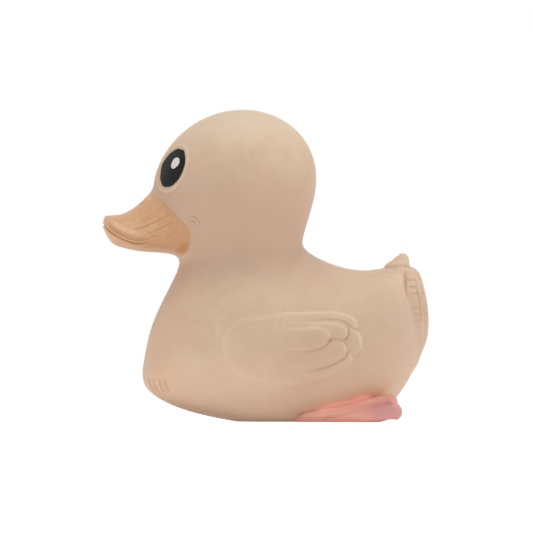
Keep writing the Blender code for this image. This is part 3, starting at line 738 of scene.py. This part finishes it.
def makeToe(start, end, thin, thick):
    bm = newBall(40, 40)
    way = Vector(end) - Vector(start)
    turned = way.to_track_quat("Z", "Y").to_matrix()
    for vert in bm.verts:
        along = max(vert.co.z, -1.0)
        radius = thin + (thick - thin) * smoothStep(along, -1.0, 0.55)
        if along > 0:  # a round lobe at the end
            place = Vector((vert.co.x, vert.co.y, along)) * radius + Vector((0, 0, way.length))
        else:
            out = math.hypot(vert.co.x, vert.co.y)
            place = Vector((0, 0, 0))
            if out > 1e-4:
                place = Vector((vert.co.x / out, vert.co.y / out, 0)) * radius
            place.z = way.length * (1 + along)
        vert.co = turned @ place + Vector(start)
    return outwards(bm)


def addObject(name, data):
    added = bpy.data.objects.new(name, data)
    bpy.context.collection.objects.link(added)
    return added


def addMesh(name, bm):
    mesh = bpy.data.meshes.new(name)
    bm.to_mesh(mesh)
    bm.free()
    return addObject(name, mesh)


def fused(parts, look):  # lumps melted into one skin, as a hand-carved model has
    whole = bmesh.new()
    for part in parts:
        scratch = bpy.data.meshes.new("lump")
        part.to_mesh(scratch)
        part.free()
        whole.from_mesh(scratch)
        bpy.data.meshes.remove(scratch)
    helper = addMesh("lumps", whole)
    remesh = helper.modifiers.new("melt", "REMESH")
    remesh.mode = "VOXEL"
    remesh.voxel_size = look["grain"]
    evaluated = helper.evaluated_get(bpy.context.evaluated_depsgraph_get())
    bm = bmesh.new()
    bm.from_mesh(evaluated.to_mesh())
    evaluated.to_mesh_clear()
    bpy.data.objects.remove(helper)
    for _ in range(look["smoothing"]):
        bmesh.ops.smooth_vert(
            bm, verts=bm.verts, factor=0.5, use_axis_x=True, use_axis_y=True, use_axis_z=True
        )
    return bm


def turnBy(bm, degrees, axis, centre=(0, 0, 0)):
    bmesh.ops.rotate(bm, cent=centre, matrix=Matrix.Rotation(math.radians(degrees), 3, axis), verts=bm.verts)


def makeFoot(side):
    bm = fused([makeWeb()] + [makeToe(*toe) for toe in foot["toes"]], foot)
    turnBy(bm, foot["turn"], "Z", (foot["x"], 0, 0))
    bmesh.ops.translate(bm, vec=(0, foot["y"], 0), verts=bm.verts)
    for vert in bm.verts:
        vert.co.y *= side
        vert.co.z = max(vert.co.z, 0)
    return outwards(bm)


def makeTuft():
    lumps = []
    for middle, halves, lean in tuft["lumps"]:
        bm = newBall(40, 30)
        bmesh.ops.scale(bm, vec=halves, verts=bm.verts)
        turnBy(bm, lean, "Y")
        bmesh.ops.translate(bm, vec=middle, verts=bm.verts)
        lumps.append(bm)
    return fused(lumps, tuft)


def gapToFeet(places, feet):  # distance from the nearer foot, on the belly round them
    gaps = np.full(len(places), 99.0)
    for i in np.flatnonzero(inBox(places, (0, -9), (99, 26), 4)):
        gaps[i] = min(tree.find_nearest(Vector(places[i]))[3] for tree in feet)
    return gaps


def footPaintDepth(places, gaps):
    return np.minimum(insideDepth(places, foot["paintEdge"]), foot["paintReach"] - gaps)


def blushOf(places, gaps=99.0):  # a warm breath of paint over the feet, and warm painted shade in the rump's fold and in the breast's folds
    overFeet = foot["blush"] * bell(gaps, 0, foot["blushReach"])
    overFeet = overFeet * smoothStep(places[:, 0], *foot["blushAlong"])
    rump, breast = rumpRelief(places)[1], foldRelief(places, folds["breast"])[1]
    return overFeet + tail["foldShadeTint"] * np.clip(rump, 0, 1) + folds["breastFoldShadeTint"] * np.clip(breast, 0, 1)


def skinRelief(places):  # everything that is moulded into the trunk's and the bill's skin, with its painted shade and painted highlights
    total, tone = handMade(places), np.zeros(len(places))
    for height, dark in (
        eyeRelief(places), rumpRelief(places), foldRelief(places, folds["breast"]), cheekRelief(places),
        foldRelief(places, folds["billLines"]),
    ):
        total = total + height
        tone = stronger(dark, tone)
    return total, tone


def beakRelief(places):
    height, tone = skinRelief(places)
    mouth, mouthTone = billRelief(places)
    return height + mouth, stronger(mouthTone, tone)


def stronger(first, second):
    return np.where(np.abs(first) > np.abs(second), first, second)


# Shader maths: a value wraps a socket, and an expression on values adds its Math nodes

class Value:
    def __init__(self, graph, socket):
        self.graph, self.socket = graph, socket

    def maths(self, operation, first, second):
        return self.graph.add("ShaderNodeMath", {"operation": operation}, {0: first, 1: second})

    def __add__(self, other):
        return self.maths("ADD", self, other)

    def __sub__(self, other):
        return self.maths("SUBTRACT", self, other)

    def __rsub__(self, other):
        return self.maths("SUBTRACT", other, self)

    def __mul__(self, other):
        return self.maths("MULTIPLY", self, other)

    __radd__, __rmul__ = __add__, __mul__


class Graph:  # the nodes of a material or of the world
    def __init__(self, owner, shader):
        owner.use_nodes = True
        self.owner, self.tree = owner, owner.node_tree
        self.shader = self.tree.nodes[shader]

    def add(self, kind, settings, sockets, output=0):
        node = self.tree.nodes.new(kind)
        for name, value in settings.items():
            setattr(node, name, value)
        self.plug(node, sockets)
        return Value(self, node.outputs[output])

    def plug(self, node, sockets):
        for name, value in sockets.items():
            if isinstance(value, Value):
                self.tree.links.new(value.socket, node.inputs[name])
            else:
                node.inputs[name].default_value = value


class Skin(Graph):  # a material whose patterns read object coordinates in millimetres
    def __init__(self, name):
        super().__init__(bpy.data.materials.new(name), "Principled BSDF")
        self.place = self.add("ShaderNodeVectorMath", {"operation": "SCALE"}, {
            0: self.add("ShaderNodeTexCoord", {}, {}, "Object"), "Scale": 1 / millimetre,
        })
        along, level = (self.add("ShaderNodeSeparateXYZ", {}, {0: self.place}, axis) for axis in (0, 2))
        self.ways = {"along": along, "level": level, "slant": level - 0.3 * (along - 16.0)}

    def noise(self, scale, detail=3.0, roughness=0.55):  # scale in waves a millimetre
        return self.add("ShaderNodeTexNoise", {}, {
            "Vector": self.place, "Scale": scale, "Detail": detail, "Roughness": roughness,
        })

    def ramp(self, value, low, high, start=0.0, end=1.0):
        return self.add("ShaderNodeMapRange", {"interpolation_type": "SMOOTHSTEP"}, {
            0: value, 1: low, 2: high, 3: start, 4: end,
        })

    def attribute(self, name):
        return self.add("ShaderNodeAttribute", {"attribute_name": name}, {}, "Fac")

    def mix(self, share, first, second):
        colours = [colour if isinstance(colour, Value) else (*colour, 1) for colour in (first, second)]
        return self.add("ShaderNodeMix", {"data_type": "RGBA"}, {0: share, 6: colours[0], 7: colours[1]}, 2)

    def clouded(self, look):  # the base colour with a look's cloudy tones over it
        colour = look["base"]
        for tone, share, noise, ends in look["clouds"]:
            colour = self.mix(share * self.ramp(self.noise(*noise), *ends), colour, look[tone])
        return colour

    def zoned(self, colour, look):  # a look's slow tones, each where its ramps along X or up Z say
        for tone, share, *ramps in look["zones"]:
            masks = (self.ramp(self.ways[way], *ends) for way, *ends in ramps)
            colour = self.mix(math.prod(masks, start=share), colour, look[tone])
        return colour

    def unevenRoughness(self, look):
        scale, spread = look["patches"]
        return look["roughness"] + (self.noise(scale) - 0.5) * spread

    def finish(self, look, sockets, steps=()):
        normal = None
        bumps = [(self.noise(*noise), *bump) for noise, *bump in look["bumps"]]
        for height, distance, strength in (*bumps, *steps):
            wired = {"Height": height, "Distance": distance * millimetre, "Strength": strength}
            if normal:
                wired["Normal"] = normal
            normal = self.add("ShaderNodeBump", {}, wired)
        fixed = {"Specular IOR Level": look["gloss"]}
        if "sink" in look:
            weight, radius, depth = look["sink"]
            fixed["Subsurface Weight"], fixed["Subsurface Radius"] = weight, radius
            fixed["Subsurface Scale"] = depth * millimetre
        self.plug(self.shader, {**fixed, **sockets, "Normal": normal})
        return self.owner


# Colours are linear. A cloud has a share, a noise's scale, detail and roughness, and a ramp. A zone has a
# share and ramps. Patches are the roughness's scale and spread, sink the weight, radius and depth of light
# inside. A bump has a noise, a depth and a strength.
rubber = {
    "base": (0.697, 0.513, 0.354), "pale": (0.757, 0.58, 0.413), "warm": (0.648, 0.442, 0.3),
    "hollow": (0.47, 0.275, 0.165), "wornAndHighlight": (0.83, 0.655, 0.49), "flushed": (0.6, 0.4, 0.29),
    "blush": (0.73, 0.4, 0.215), "dusk": (0.585, 0.392, 0.283), "rosy": (0.745, 0.545, 0.435),
    "ruddy": (0.8, 0.525, 0.352), "sunned": (0.86, 0.69, 0.52), "speck": (0.5, 0.34, 0.21),
    "clouds": (
        ("pale", 0.55, (0.035, 2), (0.36, 0.64)), ("warm", 0.34, (0.16, 4, 0.6), (0.4, 0.62)),
        ("warm", 0.22, (1.3,), (0.35, 0.7)),
    ),
    # slow tones in place of light and shade: the neck and lower head and the lower rear painted darker as
    # painted shade, the lower front painted paler and pinker and the crown lighter as painted light, and the
    # breast redder
    "zones": (
        ("flushed", 0.7, ("level", 42, 60), ("level", 102, 80), ("along", 34, 18)),
        ("dusk", 0.55, ("slant", 42, 28), ("along", -12, 16)),
        ("rosy", 0.5, ("level", 28, 10), ("along", 16, -12)),
        ("ruddy", 0.55, ("along", -22, -40), ("level", 62, 48)),
        ("sunned", 0.5, ("level", 98, 111)),
    ),
    "roughness": 0.6, "patches": (0.5, 0.14), "gloss": 0.4, "sink": (0.12, (1, 0.45, 0.25), 2.5),
    "bumps": (((0.3,), 0.1, 0.5), ((2.6, 4, 0.6), 0.016, 0.6)), "hollowShare": 0.38, "highlightShare": 0.55,
    # specks of some scale, ramp and share, how the paint's edge wavers, and how patchy the breath of paint
    # and the warm painted shade in the folds are
    "specks": (0.33, (0.1, 0.03), 0.3), "wobble": ((0.22, 1), (2.4, 2), 0.16),
    "breathAndShade": (0.22, (0.2, 0.6, 0.55, 1)),
}
billPaint = {
    "base": (0.715, 0.408, 0.218), "pale": (0.79, 0.488, 0.284), "deep": (0.54, 0.272, 0.13),
    "edge": (0.65, 0.33, 0.168), "hollow": (0.38, 0.165, 0.068), "wornAndHighlight": (0.79, 0.53, 0.34),
    "clouds": (("pale", 0.6, (0.11,), (0.35, 0.65)), ("deep", 0.22, (0.9, 4, 0.6), (0.35, 0.65))),
    # the lower beak painted darker as painted shade under the upper beak, and the bill darker towards its
    # root
    "zones": (("deep", 0.7, ("level", 68, 64.5), ("along", -31, -38)), ("deep", 0.4, ("along", -46, -31))),
    "roughness": 0.5, "starts": (-0.1, 0.14), "rim": (0.1, 1.5), "rimShare": 0.55, "hollowShare": 0.62,
    "step": (0.05, 0.5),
}
footPaint = {
    "base": (0.79, 0.358, 0.3), "pale": (0.845, 0.442, 0.365), "deep": (0.645, 0.245, 0.2),
    "edge": (0.7, 0.215, 0.15), "paintedLightPink": (1, 0.6, 0.49), "dull": (0.56, 0.285, 0.29),
    "hollow": (0.45, 0.14, 0.11),
    "clouds": (("pale", 0.65, (0.13,), (0.35, 0.65)), ("deep", 0.28, (1, 4, 0.6), (0.35, 0.68))),
    # the toes' lobes painted darker low down as painted shade
    "zones": (("dull", 0.6, ("along", 35, 43), ("level", 8.5, 5.5)),),
    "roughness": 0.5, "patches": (0.6, 0.15), "gloss": 0.4, "sink": (0.1, (1, 0.35, 0.25), 2),
    "bumps": (((0.35,), 0.12, 0.5), ((2.4, 4, 0.6), 0.018, 0.6)), "starts": (-0.25, 0.2), "rim": (0, 1.1),
    # the pink over the belly is painted lighter as painted light
    "rimShare": 0.6, "paintedLightShare": 0.75, "overBelly": 0.92, "edgeShare": 0.75, "hollowShare": 0.6,
}
eyeFinish = {
    "clouds": (("wornAndHighlight", 0.5, (0.7, 4, 0.6), (0.3, 0.7)),),
    "roughness": 0.52, "patches": (0.9, 0.16), "gloss": 0.1,
    "bumps": (((0.55, 2), 0.1, 0.5), ((3.2,), 0.012, 0.5)),
}


def footColour(graph):
    colour = graph.zoned(graph.clouded(footPaint), footPaint)
    # painted light where the attribute is below 0
    return graph.mix(graph.ramp(graph.attribute("hollow"), 0.0, -1.0), colour, footPaint["paintedLightPink"])


def paintedSkin(name):
    # natural rubber, with the bill's paint up to its edge on the face, a breath of paint over the feet,
    # painted shade in creases and under the body, painted highlights on edges and lips, and warm painted
    # shade in the folds
    graph = Skin(name)
    slow, quick, weight = rubber["wobble"]
    wobble = graph.noise(*slow) - 0.5 + (graph.noise(*quick) - 0.5) * weight
    overBill, overFoot = graph.attribute("billEdge") + wobble, graph.attribute("footEdge") + wobble
    hollow = graph.attribute("hollow")
    scale, dots, share = rubber["specks"]
    speck = graph.add("ShaderNodeTexVoronoi", {}, {"Vector": graph.place, "Scale": scale}, "Distance")
    bare = graph.mix(share * graph.ramp(speck, *dots), graph.clouded(rubber), rubber["speck"])
    # painted shade where the attribute is above 0, and painted highlights where it is below 0
    bare = graph.mix(rubber["hollowShare"] * hollow, graph.zoned(bare, rubber), rubber["hollow"])
    bare = graph.mix(graph.ramp(hollow, 0.0, -1.0, 0.0, rubber["highlightShare"]), bare, rubber["wornAndHighlight"])
    # a warm breath of paint over the feet, and warm painted shade in the rump's and the breast's folds
    scale, ends = rubber["breathAndShade"]
    breathAndShade = graph.attribute("blush") * graph.ramp(graph.noise(scale), *ends)
    bare = graph.mix(breathAndShade, bare, rubber["blush"])
    painted = graph.ramp(overBill, *billPaint["starts"])
    rim = billPaint["rimShare"] * graph.ramp(overBill, *billPaint["rim"], 1.0, 0.0) * painted
    paint = graph.mix(rim, graph.zoned(graph.clouded(billPaint), billPaint), billPaint["edge"])
    # painted shade and painted highlights on the bill's paint
    paint = graph.mix(billPaint["hollowShare"] * hollow, paint, billPaint["hollow"])
    paint = graph.mix(graph.ramp(hollow, 0.0, -1.0), paint, billPaint["wornAndHighlight"])
    pink = footPaint["overBelly"] * graph.ramp(overFoot, *footPaint["starts"])
    brim = footPaint["rimShare"] * graph.ramp(overFoot, *footPaint["rim"], 1.0, 0.0)
    web = graph.mix(footPaint["paintedLightShare"], footColour(graph), footPaint["paintedLightPink"])
    web = graph.mix(brim, web, footPaint["edge"])
    smoother = painted * (rubber["roughness"] - billPaint["roughness"])
    return graph.finish(rubber, {
        "Base Color": graph.mix(pink, graph.mix(painted, bare, paint), web),
        "Roughness": graph.unevenRoughness(rubber) - smoother,
    }, [(painted, *billPaint["step"])])


def footSkin():
    graph = Skin("foot_paint")
    # painted shade along the web's lower edge at the floor
    edge = footPaint["edgeShare"] * graph.attribute("floorEdgeShade")
    colour = graph.mix(edge, footColour(graph), footPaint["edge"])
    hollow = footPaint["hollowShare"] * graph.attribute("hollow")
    return graph.finish(footPaint, {
        "Base Color": graph.mix(hollow, colour, footPaint["hollow"]),
        "Roughness": graph.unevenRoughness(footPaint),
    })


def eyeGloss(name, paint):
    graph, look = Skin(name), {**eyeFinish, **paint}
    return graph.finish(look, {"Base Color": graph.clouded(look), "Roughness": graph.unevenRoughness(look)})


# From a bmesh in millimetres to a finished piece

def addPiece(name, bm, material, attributes):
    for key, values in attributes.items():
        layer = bm.verts.layers.float.new(key)
        for vert, value in zip(bm.verts, np.broadcast_to(values, len(bm.verts))):
            vert[layer] = value
    for face in bm.faces:
        face.smooth = True
    bmesh.ops.scale(bm, vec=(millimetre,) * 3, verts=bm.verts)
    piece = addMesh(name, bm)
    piece.data.materials.append(material)
    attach(piece, "root")
    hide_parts("duck")
    print(f"{name}: {len(piece.data.polygons)} faces")


def addRubber(name, bm, slot, **tones):  # an edge at -9 is far from any paint
    addPiece(name, bm, naturalSkin, {"billEdge": -9.0, "footEdge": -9.0, **tones})


print("shapes of the trunk and the bill")
trunkSkin = loft(trunkRows(), trunk, isDetailed)
billSkin = loft(billRows(), bill, lambda places: places[:, 0] < bill["fineBefore"])
blendSkins(trunkSkin, billSkin, bill["fillet"])

print("tail and tuft")
tailFeathers = [makeTailFeather(side) for side in (-1, 1, 0)]
tuftSkin = makeTuft()
blendSkins(trunkSkin, tuftSkin, tuft["fillet"])
for skin, tone in tailFeathers:
    blendSkins(trunkSkin, skin, tail["fillet"])

print("feet")
feetSkins = {side: makeFoot(side) for side in (-1, 1)}
feetTrees = [BVHTree.FromBMesh(bm) for bm in feetSkins.values()]

print("relief in the skins")
relax(trunkSkin, trunk["crease"], trunk["creaseReach"], trunk["creaseTimes"])
cornerX, cornerZ, reach, fill = trunk["nape"]
places = placesOf(trunkSkin)
pushOut(trunkSkin, fill * bell(places[:, 0], cornerX, reach) * bell(places[:, 2], cornerZ, reach))
places = placesOf(trunkSkin)
wingHeight, wingTone = wingRelief(places)
height, tone = skinRelief(places)
pushOut(trunkSkin, height)
setPlaces(trunkSkin, placesOf(trunkSkin) + np.outer(wingHeight * np.sign(places[:, 1]), (0, 1, 0)))
# painted shade and painted highlights of the wings, eyes, folds and rump, and painted shade on the underside
trunkTone = np.where(wingHeight > 0, wingTone, tone) + paintedUnderShade(places, normalsOf(trunkSkin))
for vert in trunkSkin.verts:
    vert.co.z = max(vert.co.z, 0)
height, billTone = beakRelief(placesOf(billSkin))
pushOut(billSkin, height)
for skin, tone in tailFeathers[:2]:
    height, foldTone = rumpRelief(placesOf(skin))
    pushOut(skin, height)
    tone += foldTone

print("materials and pieces")
naturalSkin = paintedSkin("natural_rubber_skin")
pinkSkin = footSkin()
headTree = BVHTree.FromBMesh(trunkSkin)
for side, word in ((-1, "left"), (1, "right")):
    skinTree = headTree
    for colour, paint in eyePaint.items():
        paintRound = makeEyeRound(side, skinTree, paint)
        skinTree = BVHTree.FromBMesh(paintRound)
        gloss = eyeGloss(f"eye_{colour}_{word}", paint)
        addPiece(f"{paint['name']}_{word}", paintRound, gloss, {})
    x, y, z = placesOf(feetSkins[side]).T
    # painted light on the upper web, and painted shade along its lower edge at the floor
    lit = foot["lit"] * smoothStep(z, *foot["litUp"]) * smoothStep(x - 1.5 * (z - 3), *foot["litAlong"])
    tones = {"floorEdgeShade": foot["edgeTone"] * bell(z, *foot["edgeUp"]), "hollow": -lit}
    addPiece(f"foot_{word}", feetSkins[side], pinkSkin, tones)

places = placesOf(trunkSkin)
gaps = gapToFeet(places, feetTrees)
addRubber(
    "body", trunkSkin, "natural_rubber", hollow=trunkTone, blush=blushOf(places, gaps),
    billEdge=paintDepth(places), footEdge=footPaintDepth(places, gaps),
)
addRubber("bill", billSkin, "bill_rubber", hollow=billTone, billEdge=paintDepth(placesOf(billSkin)))
for word, (skin, tone) in zip(("left", "right", "middle"), tailFeathers):
    addRubber(f"tail_feather_{word}", skin, "natural_rubber", hollow=tone, blush=blushOf(placesOf(skin)))
# painted shadow under the curls, and painted light on the rest of the tuft
tuftTone = tuft["footShadow"] * bell(placesOf(tuftSkin)[:, 2], *tuft["foot"]) - tuft["pale"]
addRubber("tail_tuft", tuftSkin, "natural_rubber", hollow=tuftTone)


# Studio: white all round, a soft lamp overhead, two on the right and one at the front on the left

studio = {
    "floorSize": 6, "floorDrop": 0.00005, "floorColour": (0.55, 0.55, 0.55), "floorGlow": 0.9,
    "ambient": 0.34, "bounceColour": (0.88, 0.87, 0.86), "bounceGlow": 0.26,
    "lens": 1200, "target": (0, 0, 0.05706), "distance": 6.54,
    # name, place, size, power
    "lamps": (
        ("overhead", (0, -0.1, 1.3), 1, 6.8), ("right", (1.25, -0.1, 0.35), 0.9, 3.8),
        ("right_front", (0.9, -0.9, 0.15), 0.9, 2), ("left_front", (-0.9, -0.9, 0.15), 0.9, 3.6),
    ),
}


def aimFrom(aimed, place):  # puts a lamp or the camera in its place, turned towards the duck
    aimed.location = place
    aimed.rotation_euler = (Vector(studio["target"]) - aimed.location).to_track_quat("-Z", "Y").to_euler()


def lightFor(graph, output, dim, white):  # camera, mirror and glass rays see plain white
    share = 0
    for ray in ("Is Camera Ray", "Is Glossy Ray", "Is Transmission Ray"):
        path = graph.add("ShaderNodeLightPath", {}, {}, ray)
        share = path.maths("MAXIMUM", path, share)
    mixed = graph.add("ShaderNodeMixShader", {}, {0: share, 1: dim, 2: white})
    graph.plug(graph.tree.nodes[output], {"Surface": mixed})


def glowing(graph, surface, strength):
    glow = graph.add("ShaderNodeEmission", {}, {"Strength": strength})
    return graph.add("ShaderNodeAddShader", {}, {0: surface, 1: glow})


bpy.context.scene.world = bpy.data.worlds.new("studio_world")
sky = Graph(bpy.context.scene.world, "Background")
sky.plug(sky.shader, {"Color": (1, 1, 1, 1), "Strength": studio["ambient"]})
plain = sky.add("ShaderNodeBackground", {}, {"Color": (1, 1, 1, 1), "Strength": 1.0})
lightFor(sky, "World Output", Value(sky, sky.shader.outputs[0]), plain)

floorMesh = bmesh.new()
bmesh.ops.create_grid(floorMesh, x_segments=1, y_segments=1, size=studio["floorSize"] / 2)
floor = addMesh("floor", floorMesh)
floor.location.z = -studio["floorDrop"]
ground = Graph(bpy.data.materials.new("floor_white"), "Principled BSDF")
ground.plug(ground.shader, {
    "Base Color": (*studio["floorColour"], 1), "Roughness": 0.9, "Specular IOR Level": 0,
})
bounce = ground.add("ShaderNodeBsdfDiffuse", {}, {"Color": (*studio["bounceColour"], 1)})
lightFor(
    ground, "Material Output", glowing(ground, bounce, studio["bounceGlow"]),
    glowing(ground, Value(ground, ground.shader.outputs[0]), studio["floorGlow"]),
)
floor.data.materials.append(ground.owner)

for name, place, size, power in studio["lamps"]:
    lamp = bpy.data.lights.new(name, "AREA")
    lamp.shape = "DISK"
    lamp.size = size
    lamp.energy = power
    aimFrom(addObject(name, lamp), place)

camera = addObject("camera", bpy.data.cameras.new("camera"))
camera.data.lens = studio["lens"]
camera.data.sensor_width = 36
camera.data.clip_end = 20
aimFrom(camera, Vector(studio["target"]) - Vector((0, studio["distance"], 0)))
bpy.context.scene.camera = camera
bpy.context.scene.view_settings.view_transform = "Standard"
